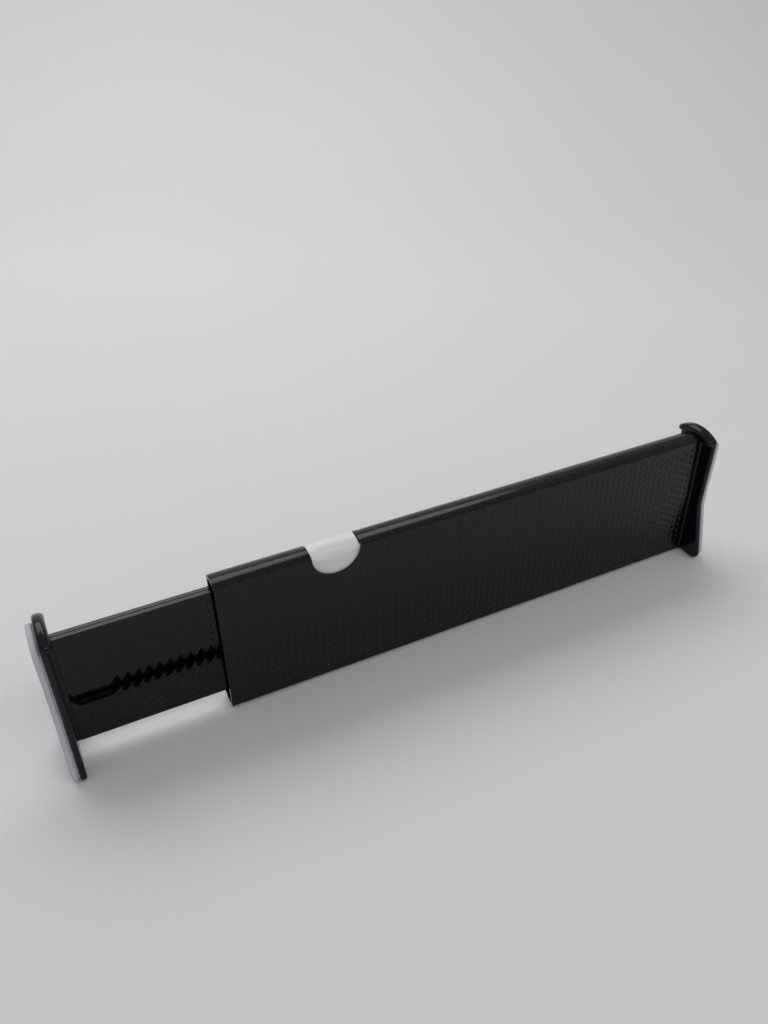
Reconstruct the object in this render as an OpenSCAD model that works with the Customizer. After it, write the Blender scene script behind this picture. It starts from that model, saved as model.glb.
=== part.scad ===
// Expanding drawer divider: a panel that slides in a two-shell sleeve, a padded foot plate
// at each end, and a push button that lifts a latch pin out of the panel's notched slot.
// Length runs along X, the drawer floor is Z = 0, and the notched side faces -Y.

/* [Sleeve] */
// Length of the sleeve
sleeve_len = 284; // [240:1:320]
// Height of the flat face, between the two crowned edges
face_h = 75; // [70:1:90]
// Thickness of the sleeve
sleeve_t = 12.4; // [12:0.1:14]
// Rise of the crowned top and bottom edges above the flat face
crown = 1.8; // [1:0.1:2.5]
// Wall thickness of the shells
wall = 1.4; // [1.2:0.1:1.6]
// Gap between the drawer floor and the flat face
floor_gap = 2.5; // [2:0.1:5]

/* [Slider] */
// Length of slider that stands out of the sleeve at rest
slider_out = 71; // [71:5:121]
// Whole length of the slider
slider_len = 271; // [255:1:271]
// Height of the slider
slider_h = 62.9; // [58:0.1:63]
// Thickness of the slider
slider_t = 5.3; // [5:0.1:5.4]
// Depth of the slider's front behind the sleeve's face
slider_back = 4.5; // [4.4:0.1:4.6]
// Height of the slider's lower edge above the face's lower edge
slider_lift = 7.7; // [7.6:0.1:10]

/* [Latch slot] */
// Distance from notch to notch
pitch = 5; // [4.8:0.1:5.2]
// Number of notches in each row
notches = 46; // [40:1:46]
// Depth of the slot, which is the front half of the slider
slot_depth = 2.6; // [2.4:0.1:2.8]
// Height of the notch floor's centre above the face's lower edge
notch_z = 30.65; // [28:0.05:33]
// Height of the clear band between the two rows of teeth
band_h = 3.6; // [3.4:0.1:4]
// Radius of a notch's round floor
notch_r = 1.35; // [1.3:0.05:1.4]
// Depth of a notch below the clear band, to its centre
notch_drop = 2.15; // [2:0.05:2.3]
// Flat land at a tooth's tip
tooth_land = 0.25; // [0.1:0.05:0.4]

/* [Button and latch] */
// Centre of the button, from the sleeve's mouth
button_x = 60.4; // [55:0.1:70]
// Radius of the half-round notch that shows the button
notch_face_r = 12.8; // [11:0.1:14]
// Travel of the button
button_travel = 2.1; // [1.5:0.1:2.1]
// Pivot of the latch lever, from the sleeve's mouth
pivot_x = 41.4; // [40:0.1:43]
// Latch pin, from the sleeve's mouth
latch_x = 8.5; // [8:0.1:9]
// Diameter of the latch pin
latch_d = 2.5; // [2:0.1:2.6]
// Diameter of the pivot stud
stud_d = 3; // [2.5:0.1:3.5]

/* [End plates] */
// Thickness of the plate's flange
flange_t = 3.2; // [3:0.1:6]
// Length of the collar on the sleeve's plate
sleeve_collar = 3.2; // [2:0.1:5]
// Length of the collar on the slider's plate
slider_collar = 2; // [2:0.1:5]
// Thickness of foam pad and tape together
pad_t = 3.5; // [3:0.1:8]
// Thickness of the double-sided tape
tape_t = 0.3; // [0.2:0.05:0.5]
// Half width of the plate below its arched top
top_half = 13.1; // [12:0.1:16]
// Half width of the plate at its waist
waist_half = 12; // [10:0.1:15]
// Half width of the plate at its foot
foot_half = 18.4; // [16:0.1:22]
// Height of the plate
plate_h = 83.1; // [80:0.1:100]

/* [Hidden] */
$fn = 64;
eps = 0.01;

black = [0.09, 0.095, 0.1];
dark = [0.13, 0.135, 0.14];
white = [0.93, 0.93, 0.94];
foam = [0.82, 0.81, 0.85];
steel = [0.7, 0.71, 0.72];

// Places along X
total_l = 2 * pad_t + 2 * flange_t + slider_collar + slider_out + sleeve_len + sleeve_collar;
x_left = -total_l / 2;
x_slider = x_left + pad_t + flange_t + slider_collar;
x_mouth = x_slider + slider_out;
x_end = x_mouth + sleeve_len;

// Places along Y
y_face = -sleeve_t / 2;
y_in = y_face + wall;
y_slider = y_face + slider_back;
y_seam = y_slider + slot_depth;
y_slider_far = y_slider + slider_t;

// Places along Z
z_face = floor_gap;
z_top = z_face + face_h;
z_slider = z_face + slider_lift;
z_slider_top = z_slider + slider_h;
z_notch = z_face + notch_z;

// Crown arc: through both face edges, and `crown` above them in the middle
crown_r = (sleeve_t * sleeve_t / 4 + crown * crown) / (2 * crown);

// Clearance around the slider
play = 0.15;

// Pocket behind the slot, in the back half of the slider
pocket_in = 3;
pocket_depth = slider_t - slot_depth - 1;
pocket_h = band_h + 2 * (notch_drop + notch_r) + 2;

// Guide ribs and screw bosses
rib_h = 1.6;
mouth_in = 2;
boss_len = 12;
boss_half = 4;

// Screws that hold the end plates
screw_r = 1.2;
head_r = 2.4;
head_t = 1.5;
screw_in = 11;
screw_zs = [z_face + 18, z_face + 56];

// Button
button_gap = 0.3;
button_lip = 1.5;
skirt_t = 1.6;
far_skirt_t = 0.85;
x_button = x_mouth + button_x;
y_skirt = y_in + play;
y_far_skirt = -y_in - play;
lip_drop = 1;
beam_drop = 2;
dish_side = 2.2;
dish_middle = 3.5;
dish_top = z_top + 1.3;
roof_z = z_slider_top + button_travel + 0.3;
tab_z = z_top - notch_face_r - button_lip - 0.6;
tab_half = 6;

// Latch
lever_t = 1.4;
hub_r = 3.6;
y_lever = y_in + 0.2;
x_pivot = x_mouth + pivot_x;
x_latch = x_mouth + latch_x;
arm_w = 5;
pad_w = 4;
knee = [x_button, z_face + 50];
touch = [x_button, tab_z - 0.15 - pad_w / 2];
spring_x = x_button + 6;
spring_half = 3;
seat_z = z_face + 35;
seat_half = 6;
spring_top = knee[1] - arm_w / 2;

// Outline of the end plate
corner_r = 2.2;
foot_r = 4;
waist_z = z_face + 33.6;
pad_inset = 1.2;
cap_drop = 1;
collar_step = 0.5;

// Points of an arc, from angle a to angle b, in n steps
function arc(c, r, a, b, n) =
    [for (i = [0:n]) let (t = a + (b - a) * i / n) [c[0] + r * cos(t), c[1] + r * sin(t)]];

// Half of the plate's outline on the +Y side, from the middle of the foot to the top of the arch
function half_plate(inset) =
    let (
        r = corner_r,
        top = plate_h - 2.6 * inset,
        side = top_half - inset - r,
        side_z = top - 5.6,
        arch_r = (side * side + 5.6 * 5.6 - r * r) / (2 * (5.6 - r)),
        arch_a = atan2(side_z - (top - arch_r), side),
        f = foot_r - inset / 2,
        low = 0.8 * inset
    )
    concat(
        arc([foot_half - inset - f, low + f], f, -90, 8, 10),
        [[waist_half - inset + 0.5, waist_z - 2.5], [waist_half - inset, waist_z + 1]],
        arc([side, side_z], r, 0, arch_a, 8),
        arc([0, top - arch_r], arch_r, arch_a, 90, 12)
    );

module plate_outline(inset = 0) {
    half = half_plate(inset);
    far = len(half) - 1;
    polygon(concat(half, [for (i = [far - 1:-1:0]) [-half[i][0], half[i][1]]]));
}

// Extrudes a (Y, Z) outline along X
module along_x(x, length) {
    translate([x, 0, 0]) rotate([90, 0, 90]) linear_extrude(length) children();
}

// Extrudes an (X, Z) outline along +Y, starting at y
module along_y(y, depth) {
    translate([0, y + depth, 0]) rotate([90, 0, 0]) linear_extrude(depth) children();
}

// Cross-section of the sleeve, pulled in by inset
module sleeve_section(inset = 0) {
    r = crown_r - inset;
    half = sleeve_t / 2 - inset;
    edge = crown_r - crown - sqrt(r * r - half * half);
    low = z_face + edge;
    translate([-half, low]) square([2 * half, face_h - 2 * edge]);
    intersection() {
        translate([0, z_top + crown - crown_r]) circle(r, $fn = 128);
        translate([-half, z_top - edge - eps]) square([2 * half, crown + edge + 1]);
    }
    intersection() {
        translate([0, z_face - crown + crown_r]) circle(r, $fn = 128);
        translate([-half, low - crown - edge - 1 + eps]) square([2 * half, crown + edge + 1]);
    }
}

// A straight bar with round ends, from p to q
module bar(p, q, width) {
    a = atan2(q[1] - p[1], q[0] - p[0]);
    polygon(concat(arc(q, width / 2, a - 90, a + 90, 14), arc(p, width / 2, a + 90, a + 270, 14)));
}

// One saw-tooth notch, its round floor centred on the origin, its steep wall on the -X side
module notch() {
    tip = [pitch - notch_r - tooth_land, notch_drop];
    reach = atan2(tip[1], tip[0]) - acos(notch_r / norm(tip));
    circle(notch_r, $fn = 32);
    polygon([
        [-notch_r, 0], [0, 0], [notch_r * cos(reach), notch_r * sin(reach)],
        tip, [tip[0], notch_drop + eps], [-notch_r, notch_drop + eps]
    ]);
}

module slot_outline() {
    first = x_latch - 11 * pitch;
    band_z = z_notch + notch_drop;
    floor_z = z_notch - notch_r;
    run_in = first - notch_r - 4.5;
    bend = x_slider + 3.6;
    // Clear band, closed by a round end
    translate([bend, band_z]) square([first + notches * pitch - bend, band_h]);
    translate([first + notches * pitch, band_z + band_h / 2]) circle(band_h / 2);
    for (i = [0:notches - 1]) translate([first + i * pitch, 0]) {
        translate([0, z_notch]) notch();
        translate([2.7 - pitch, band_z + band_h + notch_drop]) rotate(180) notch();
    }
    // Toothless stretch where the pin rests when the divider is closed, with its run-in ramp
    polygon([
        [bend, floor_z], [run_in, floor_z], [first - notch_r, band_z + eps], [bend, band_z + eps]
    ]);
    // The slot bends up where it meets the end plate
    polygon([
        [x_slider - 1, floor_z + 4], [x_slider + 0.2, floor_z + 4], [bend + 0.2, floor_z],
        [bend + 0.2, band_z + band_h], [x_slider + 2, band_z + band_h],
        [x_slider + 0.4, band_z + band_h + 3.6], [x_slider - 1, band_z + band_h + 3.6]
    ]);
}

// The half of the sleeve on the side of `away`: -1 is the front, 1 is the back
module shell(away) {
    inner = away < 0 ? y_slider - play : y_slider_far + play;
    wall_y = -away * y_in;
    module half_space(depth = 10) {
        translate([x_mouth - 1, away < 0 ? -depth : 0, z_face - 5])
            cube([sleeve_len + 2, depth, face_h + 10]);
    }
    module run(x0, x1, z, reach) {
        y0 = min(wall_y, reach);
        translate([x_mouth + x0, y0 - (away < 0 ? eps : 0), z])
            cube([x1 - x0, abs(wall_y - reach) + eps, rib_h]);
    }
    difference() {
        intersection() {
            along_x(x_mouth, sleeve_len) difference() {
                sleeve_section();
                sleeve_section(wall);
            }
            half_space();
        }
        translate([x_button, -sleeve_t, z_top])
            rotate([-90, 0, 0]) cylinder(r = notch_face_r, h = 2 * sleeve_t, $fn = 128);
    }
    intersection() {
        along_x(x_mouth, sleeve_len) sleeve_section(wall / 2);
        half_space();
        union() {
            // Shelves under and over the slider
            run(mouth_in, slider_len - 1, z_slider - 0.2 - rib_h, 0);
            run(mouth_in, button_x - 20, z_slider_top + 0.2, 0);
            run(button_x + 20, slider_len - 1, z_slider_top + 0.2, 0);
            // Ribs that keep the slider off the wall
            run(mouth_in, slider_len - 1, z_slider + 3, inner);
            run(mouth_in, button_x - 20, z_slider_top - 5, inner);
            run(button_x + 20, slider_len - 1, z_slider_top - 5, inner);
            // Screw bosses
            for (z = screw_zs) difference() {
                translate([x_end - boss_len, away < 0 ? wall_y - eps : 0, z - boss_half])
                    cube([boss_len, abs(wall_y) + eps, 2 * boss_half]);
                translate([x_end - screw_in, 0, z])
                    rotate([0, 90, 0]) cylinder(r = screw_r, h = screw_in + 1);
            }
        }
    }
}

module sleeve_front_shell() {
    color(black) difference() {
        union() {
            shell(-1);
            // Seat of the return spring
            translate([spring_x - seat_half, y_in - eps, seat_z - rib_h])
                cube([2 * seat_half, lever_t + 0.4, rib_h]);
        }
        // Blind seat of the pivot stud
        translate([x_pivot, y_face + 0.6, z_notch])
            rotate([-90, 0, 0]) cylinder(d = stud_d, h = wall);
    }
}

module sleeve_back_shell() {
    color(black) shell(1);
}

// Foot plate with a flange and a screwed collar; out is the side that the pad is on
module end_plate(x_flange, out, collar, seam_y, half_t, low, high) {
    x_collar = out > 0 ? x_flange - collar : x_flange + flange_t - eps;
    x_head = out > 0 ? x_flange + flange_t - head_t : x_flange - 1;
    difference() {
        union() {
            along_x(x_flange, flange_t) plate_outline();
            along_x(x_collar, collar + eps) {
                translate([seam_y - half_t, low]) square([2 * half_t, high - low]);
                // Arched cap, as thick as flange and collar together
                intersection() {
                    plate_outline();
                    translate([-top_half, z_top - cap_drop]) square([2 * top_half, plate_h]);
                }
            }
        }
        for (z = screw_zs) translate([0, seam_y, z]) rotate([0, 90, 0]) {
            translate([0, 0, x_flange - collar - 1]) cylinder(r = screw_r, h = 2 * collar + flange_t + 2);
            translate([0, 0, x_head]) cylinder(r = head_r, h = head_t + 1);
        }
    }
}

// Pan-head screws, head outwards, in the plate's counterbores
module plate_screws(x_face, out, seam_y) {
    for (z = screw_zs) translate([x_face, seam_y, z]) rotate([0, -90 * out, 0]) {
        difference() {
            translate([0, 0, 0.3]) cylinder(r = head_r - 0.2, h = head_t - 0.3);
            // Cross recess
            for (a = [0, 90]) rotate(a) translate([-1.3, -0.3, 0]) cube([2.6, 0.6, 1]);
        }
        translate([0, 0, head_t - eps])
            cylinder(r = screw_r, h = flange_t - head_t + (out > 0 ? sleeve_collar : slider_collar) + screw_in);
    }
}

module fixed_end_plate() {
    color(black) end_plate(x_end + sleeve_collar, 1, sleeve_collar, 0,
        sleeve_t / 2 + collar_step, z_face, z_top);
}

module fixed_plate_screws() {
    color(steel) plate_screws(x_end + sleeve_collar + flange_t, 1, 0);
}

module fixed_pad_tape() {
    color(white) along_x(-x_left - pad_t, tape_t) plate_outline(pad_inset + 0.4);
}

module fixed_end_pad() {
    color(foam) along_x(-x_left - pad_t + tape_t, pad_t - tape_t) plate_outline(pad_inset);
}

module lever_pivot_stud() {
    color(steel) translate([x_pivot, y_face + 0.6, z_notch])
        rotate([-90, 0, 0]) cylinder(d = stud_d, h = wall + lever_t + 0.1);
}

// Flat wire spring folded in four runs between the shell's seat and the lever
module return_spring() {
    wire = 0.7;
    runs = 4;
    half = spring_half;
    rise = (spring_top - seat_z - wire - 0.1) / (runs - 1);
    color(steel) along_y(y_lever + 0.2, 1) for (i = [0:runs - 1]) {
        z = seat_z + 0.05 + wire / 2 + i * rise;
        side = i % 2 == 0 ? 1 : -1;
        translate([spring_x - half, z - wire / 2]) square([2 * half, wire]);
        if (i < runs - 1) translate([spring_x + side * half, z + rise / 2]) intersection() {
            difference() {
                circle(rise / 2 + wire / 2, $fn = 32);
                circle(rise / 2 - wire / 2, $fn = 32);
            }
            translate([side > 0 ? 0 : -rise, -rise]) square([rise, 2 * rise]);
        }
    }
}

// Screw pilot holes in the slider's end, half in each panel
module slider_pilots() {
    for (z = screw_zs) translate([x_slider - 1, y_seam, z])
        rotate([0, 90, 0]) cylinder(r = screw_r, h = screw_in + 1);
}

module slider_front_panel() {
    color(dark) difference() {
        translate([x_slider, y_slider, z_slider]) cube([slider_len, slot_depth, slider_h]);
        along_y(y_slider - 1, slot_depth + 2) slot_outline();
        slider_pilots();
    }
}

module slider_back_panel() {
    color(dark) difference() {
        translate([x_slider, y_seam, z_slider]) cube([slider_len, slider_t - slot_depth, slider_h]);
        translate([x_slider + pocket_in, y_seam - eps, z_notch - notch_r - 1])
            cube([slider_len - 2 * pocket_in, pocket_depth + eps, pocket_h]);
        slider_pilots();
    }
}

module slider_end_plate() {
    color(black) end_plate(x_slider - slider_collar - flange_t, -1, slider_collar, y_seam,
        slider_t / 2 - collar_step, z_slider, z_top);
}

module slider_plate_screws() {
    color(steel) plate_screws(x_slider - slider_collar - flange_t, -1, y_seam);
}

module slider_pad_tape() {
    color(white) along_x(x_left + pad_t - tape_t, tape_t) plate_outline(pad_inset + 0.4);
}

module slider_end_pad() {
    color(foam) along_x(x_left, pad_t - tape_t) plate_outline(pad_inset);
}

module latch_lever() {
    color(dark) difference() {
        along_y(y_lever, lever_t) {
            // Arm to the latch pin
            bar([x_latch, z_notch], [x_pivot, z_notch], arm_w);
            // Arm to the button
            bar([x_pivot, z_notch], knee, arm_w);
            bar(knee, touch, pad_w);
            // Foot on the spring
            bar(knee, [spring_x + spring_half, knee[1]], arm_w);
            // Round hub, turned half a step so that its corners miss the arms' edges
            polygon(arc([x_pivot, z_notch], hub_r, 3, 353, 35));
        }
        translate([x_pivot, y_lever - 1, z_notch])
            rotate([-90, 0, 0]) cylinder(d = stud_d + 0.1, h = lever_t + 2);
        translate([x_latch, y_lever - 1, z_notch])
            rotate([-90, 0, 0]) cylinder(d = latch_d, h = lever_t + 2);
    }
}

module latch_pin() {
    color(steel) translate([x_latch, y_lever, z_notch])
        rotate([-90, 0, 0]) cylinder(d = latch_d, h = y_seam - 0.3 - y_lever);
}

// Half-round skirt, with a hidden lip that runs behind the sleeve's wall
module skirt(y, thick, tab) {
    lip_r = notch_face_r + button_lip;
    along_y(y, thick) {
        intersection() {
            translate([x_button, z_top]) circle(lip_r, $fn = 128);
            translate([x_button - lip_r, z_top - lip_r]) square([2 * lip_r, lip_r - lip_drop]);
        }
        if (tab) translate([x_button - tab_half, tab_z]) square([2 * tab_half, 6]);
    }
}

// A block over the width of the button's face, from z up to the rim of the dish
module button_block(y, depth, z) {
    half = notch_face_r - button_gap;
    translate([x_button - half, y, z]) cube([2 * half, depth, dish_top - z]);
}

// Height of the thumb dish: u runs across the button, v from its far edge to its near edge
function dish(u, v) = dish_top - (dish_side + dish_middle * (1 - u * u)) * v * v * v;

// What the thumb dish takes away, from its surface up to a flat top
module dish_cutter() {
    nu = 20;
    nv = 10;
    over = 0.5;
    half = notch_face_r - button_gap + over;
    depth = y_far_skirt - y_skirt;
    low = [for (j = [0:nv]) for (i = [0:nu]) let (u = 2 * i / nu - 1, v = j / nv * (1 + over / depth))
        [x_button + half * u, y_far_skirt - depth * v, dish(u, v)]];
    rim = [for (p = low) [p[0], p[1], dish_top + 2]];
    w = nu + 1;
    n = w * (nv + 1);
    near = nv * w;
    faces = concat(
        [for (j = [0:nv - 1]) for (i = [0:nu - 1]) let (a = j * w + i) each [
            [a, a + w, a + 1], [a + 1, a + w, a + w + 1],
            [n + a, n + a + 1, n + a + w], [n + a + 1, n + a + w + 1, n + a + w]]],
        [for (i = [0:nu - 1]) let (b = near + i) each [
            [i, i + 1, n + i], [i + 1, n + i + 1, n + i],
            [b, n + b, b + 1], [b + 1, n + b, n + b + 1]]],
        [for (j = [0:nv - 1]) let (a = j * w, b = a + nu) each [
            [a, n + a, a + w], [a + w, n + a, n + a + w],
            [b, b + w, n + b], [b + w, n + b + w, n + b]]]
    );
    polyhedron(points = concat(low, rim), faces = faces);
}

module release_button() {
    color(white) difference() {
        union() {
            skirt(y_skirt, skirt_t, true);
            skirt(y_far_skirt - far_skirt_t, far_skirt_t, false);
            button_block(y_skirt, skirt_t, z_top - lip_drop - 1);
            button_block(y_far_skirt - far_skirt_t, far_skirt_t, z_top - lip_drop - 1);
            // Thick front beam under the deep end of the dish, and the thin roof behind it
            button_block(y_skirt, y_slider - 2 * play - y_skirt, z_slider_top - beam_drop);
            button_block(y_skirt, y_far_skirt - y_skirt, roof_z);
        }
        dish_cutter();
    }
}

sleeve_front_shell();
sleeve_back_shell();
fixed_end_plate();
fixed_plate_screws();
fixed_pad_tape();
fixed_end_pad();
lever_pivot_stud();
return_spring();
slider_front_panel();
slider_back_panel();
slider_end_plate();
slider_plate_screws();
slider_pad_tape();
slider_end_pad();
latch_lever();
latch_pin();
release_button();
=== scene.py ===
"""Expanding drawer divider: dimpled shells and slider, bullnosed foot plates, foam pads, a white
push button and the latch inside. Everything is in metres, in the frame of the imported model."""

import math

import bmesh
import bpy
from bpy.props import FloatProperty, FloatVectorProperty, IntProperty, PointerProperty
from mathutils import Matrix, Vector, noise


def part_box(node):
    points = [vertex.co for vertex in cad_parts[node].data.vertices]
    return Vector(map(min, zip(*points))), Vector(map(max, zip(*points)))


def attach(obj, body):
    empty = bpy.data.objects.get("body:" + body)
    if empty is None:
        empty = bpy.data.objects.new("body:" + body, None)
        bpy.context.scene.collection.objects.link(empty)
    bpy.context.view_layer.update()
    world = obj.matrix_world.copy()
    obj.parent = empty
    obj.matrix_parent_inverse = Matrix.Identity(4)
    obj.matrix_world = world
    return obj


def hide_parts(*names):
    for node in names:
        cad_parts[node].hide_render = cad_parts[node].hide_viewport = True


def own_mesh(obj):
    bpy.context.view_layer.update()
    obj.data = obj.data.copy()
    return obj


bl_info = {
    "name": "Expanding drawer divider",
    "version": (1, 0, 0),
    "blender": (4, 5, 0),
    "location": "3D View > Sidebar > Divider",
    "description": "Finishes the packed drawer divider and sets it on a studio sweep",
    "category": "Object",
}

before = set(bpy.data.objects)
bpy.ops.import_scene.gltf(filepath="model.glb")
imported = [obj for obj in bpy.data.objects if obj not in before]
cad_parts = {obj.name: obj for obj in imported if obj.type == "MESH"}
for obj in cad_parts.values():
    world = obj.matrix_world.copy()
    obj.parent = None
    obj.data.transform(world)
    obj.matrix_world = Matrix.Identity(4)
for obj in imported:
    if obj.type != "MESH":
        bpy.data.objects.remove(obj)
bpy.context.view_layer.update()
MM = 0.001

SLEEVE_LOW, SLEEVE_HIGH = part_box("sleeve_front_shell")
BACK_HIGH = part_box("sleeve_back_shell")[1]
PANEL_LOW, PANEL_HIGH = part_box("slider_front_panel")
PANEL_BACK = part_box("slider_back_panel")[1].y
BUTTON_LOW, BUTTON_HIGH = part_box("release_button")

SEAM_WIDTH, SEAM_DEPTH = 0.34 * MM, 1 * MM
# The sleeve's crown: an arc through both face edges, that rises CROWN above them
CROWN = 1.8 * MM
CROWN_R = (SLEEVE_LOW.y**2 + CROWN**2) / (2 * CROWN)
FACE_BOTTOM = SLEEVE_LOW.z + CROWN
FACE_TOP = SLEEVE_HIGH.z - CROWN
NOTCH_R = 12.8 * MM
BUTTON_X = (BUTTON_LOW.x + BUTTON_HIGH.x) / 2
# Two places nearer than this are the same place
TINY = 0.004 * MM


# ---------------------------------------------------------------- settings


class DividerTexture(bpy.types.PropertyGroup):
    """Sizes of the dimples and of the softened edges"""

    column_pitch: FloatProperty(
        name="Column pitch", description="Distance between columns of dimples",
        default=3.72 * MM, unit="LENGTH",
    )
    row_pitch: FloatProperty(
        name="Row pitch", description="Distance between dimples in a column",
        default=4.29 * MM, unit="LENGTH",
    )
    dimple_radius: FloatProperty(
        name="Dimple radius", description="Radius of a dimple at its rim",
        default=1.3 * MM, unit="LENGTH",
    )
    dimple_depth: FloatProperty(
        name="Dimple depth", description="Depth of a dimple in its middle",
        default=0.33 * MM, unit="LENGTH",
    )
    margin: FloatProperty(
        name="Margin", description="Smooth border between the dimples and the face's edge",
        default=0.9 * MM, unit="LENGTH",
    )
    dimple_sides: IntProperty(
        name="Dimple sides", description="Corners of a dimple's rim", default=12, min=8, max=16
    )
    edge_radius: FloatProperty(
        name="Edge radius", description="Rounding of the mouldings' outer edges",
        default=0.4 * MM, unit="LENGTH",
    )
    seam_radius: FloatProperty(
        name="Seam radius", description="Rounding of the two edges that meet at a seam",
        default=0.25 * MM, unit="LENGTH",
    )


class DividerFinish(bpy.types.PropertyGroup):
    """Colours of the plastics, the foam and the steel"""

    black: FloatVectorProperty(
        name="Black plastic", description="Colour of shells, slider and plates",
        subtype="COLOR", default=(0.0022, 0.0034, 0.0048),
    )
    white: FloatVectorProperty(
        name="Button", description="Colour of the push button",
        subtype="COLOR", default=(0.84, 0.83, 0.85),
    )
    foam: FloatVectorProperty(
        name="Foam", description="Colour of the end pads",
        subtype="COLOR", default=(0.60, 0.575, 0.655),
    )
    steel: FloatVectorProperty(
        name="Steel", description="Colour of screws, pin, stud and spring",
        subtype="COLOR", default=(0.62, 0.63, 0.65),
    )


class DividerStage(bpy.types.PropertyGroup):
    """Camera and lights"""

    camera_place: FloatVectorProperty(
        name="Camera place", description="Where the camera stands",
        subtype="TRANSLATION", default=(SLEEVE_LOW.x - 0.0603, -0.3113, 0.3281),
    )
    camera_turn: FloatVectorProperty(
        name="Camera turn", description="Tilt, roll and turn of the camera",
        subtype="EULER",
        default=(math.radians(55.16), math.radians(0.92), math.radians(-26.17)),
    )
    lens: FloatProperty(
        name="Lens", description="Focal length in millimetres on a 36 mm long side", default=30.62
    )
    sky: FloatProperty(name="Sky", description="Strength of the light all around", default=0.36)
    softbox: FloatProperty(
        name="Softbox", description="Power of the light overhead", default=9.0, subtype="POWER"
    )
    lamp: FloatProperty(
        name="Lamp", description="Power of the small lamp that lights the edges", default=3.0,
        subtype="POWER",
    )


# ---------------------------------------------------------------- node trees


def feed(tree, socket, value):
    """Links the socket to another socket, or sets its value."""
    if isinstance(value, bpy.types.NodeSocket):
        tree.links.new(value, socket)
    else:
        socket.default_value = value


def add_node(tree, kind, inputs=None, **settings):
    """Adds a node; inputs maps a socket's name or number to a value or to another socket."""
    node = tree.nodes.new(kind)
    for name, value in settings.items():
        setattr(node, name, value)
    for key, value in (inputs or {}).items():
        feed(tree, node.inputs[key], value)
    return node


def maths(tree, operation, a, b=0.0):
    return add_node(tree, "ShaderNodeMath", {0: a, 1: b}, operation=operation).outputs[0]


def vector_maths(tree, operation, a, b):
    return add_node(tree, "ShaderNodeVectorMath", {0: a, 1: b}, operation=operation).outputs[0]


def split_xyz(tree, vector):
    return add_node(tree, "ShaderNodeSeparateXYZ", {0: vector}).outputs


def join(tree, *parts):
    node = tree.nodes.new("GeometryNodeJoinGeometry")
    for part in parts:
        tree.links.new(part, node.inputs[0])
    return node.outputs[0]


def stamp(tree, points, shape):
    """The shape at each of the points, as real geometry."""
    copies = add_node(tree, "GeometryNodeInstanceOnPoints", {"Points": points, "Instance": shape})
    return add_node(tree, "GeometryNodeRealizeInstances", {0: copies.outputs[0]}).outputs[0]


def new_tree(name, kind, inputs, outputs):
    """A node group; inputs and outputs map socket names to socket types or (type, default)."""
    tree = bpy.data.node_groups.new(name, kind)
    for side, sockets in (("INPUT", inputs), ("OUTPUT", outputs)):
        for label, what in sockets.items():
            what, default = what if isinstance(what, tuple) else (what, None)
            socket = tree.interface.new_socket(label, in_out=side, socket_type=what)
            if default is not None:
                socket.default_value = default
    return tree, tree.nodes.new("NodeGroupInput"), tree.nodes.new("NodeGroupOutput")


def run_tree(piece, tree, values):
    """Runs a geometry tree on the piece and keeps its result as a plain mesh."""
    modifier = piece.modifiers.new(tree.name, "NODES")
    modifier.node_group = tree
    for item in tree.interface.items_tree:
        if item.in_out == "INPUT" and item.name in values:
            modifier[item.identifier] = values[item.name]
    return settle(piece)


def settle(piece):
    """Turns the piece and its modifiers into a plain mesh."""
    depsgraph = bpy.context.evaluated_depsgraph_get()
    mesh = bpy.data.meshes.new_from_object(piece.evaluated_get(depsgraph))
    piece.modifiers.clear()
    old = piece.data
    piece.data = mesh
    bpy.data.meshes.remove(old)
    mesh.name = piece.name
    return piece


def patch_outline(tree, patch):
    """The outline of the patch, with any holes in it, as curves."""
    around = add_node(tree, "GeometryNodeInputMeshEdgeNeighbors").outputs[0]
    border = add_node(
        tree, "FunctionNodeCompare", {2: around, 3: 1}, data_type="INT", operation="EQUAL"
    ).outputs[0]
    return add_node(
        tree, "GeometryNodeMeshToCurve", {"Mesh": patch, "Selection": border}
    ).outputs[0]


def honeycomb(tree, patch, column, row):
    """A lattice over the patch's box, with every second column shifted by half a row."""
    box = add_node(tree, "GeometryNodeBoundBox", {"Geometry": patch})
    low, high = box.outputs["Min"], box.outputs["Max"]
    middle = vector_maths(tree, "MULTIPLY", vector_maths(tree, "ADD", high, low), (0.5, 0.5, 0.5))
    span = split_xyz(tree, vector_maths(tree, "SUBTRACT", high, low))
    columns = maths(tree, "FLOOR", maths(tree, "DIVIDE", span[0], column))
    rows = maths(tree, "FLOOR", maths(tree, "DIVIDE", span[1], row))
    width = maths(tree, "MULTIPLY", columns, column)
    lattice = add_node(
        tree, "GeometryNodeMeshGrid",
        {
            "Size X": width, "Size Y": maths(tree, "MULTIPLY", rows, row),
            "Vertices X": maths(tree, "ADD", columns, 1.0),
            "Vertices Y": maths(tree, "ADD", rows, 1.0),
        },
    ).outputs[0]
    place = add_node(tree, "GeometryNodeInputPosition").outputs[0]
    from_left = maths(tree, "ADD", split_xyz(tree, place)[0], maths(tree, "MULTIPLY", width, 0.5))
    number = maths(tree, "ROUND", maths(tree, "DIVIDE", from_left, column))
    odd = maths(tree, "FLOORED_MODULO", number, 2.0)
    half_row = maths(tree, "MULTIPLY", row, 0.5)
    shift = maths(tree, "MULTIPLY", maths(tree, "SUBTRACT", odd, 0.5), half_row)
    shift = add_node(tree, "ShaderNodeCombineXYZ", {1: shift}).outputs[0]
    shift = vector_maths(tree, "ADD", shift, middle)
    return add_node(
        tree, "GeometryNodeSetPosition", {"Geometry": lattice, "Offset": shift}
    ).outputs[0]


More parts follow.
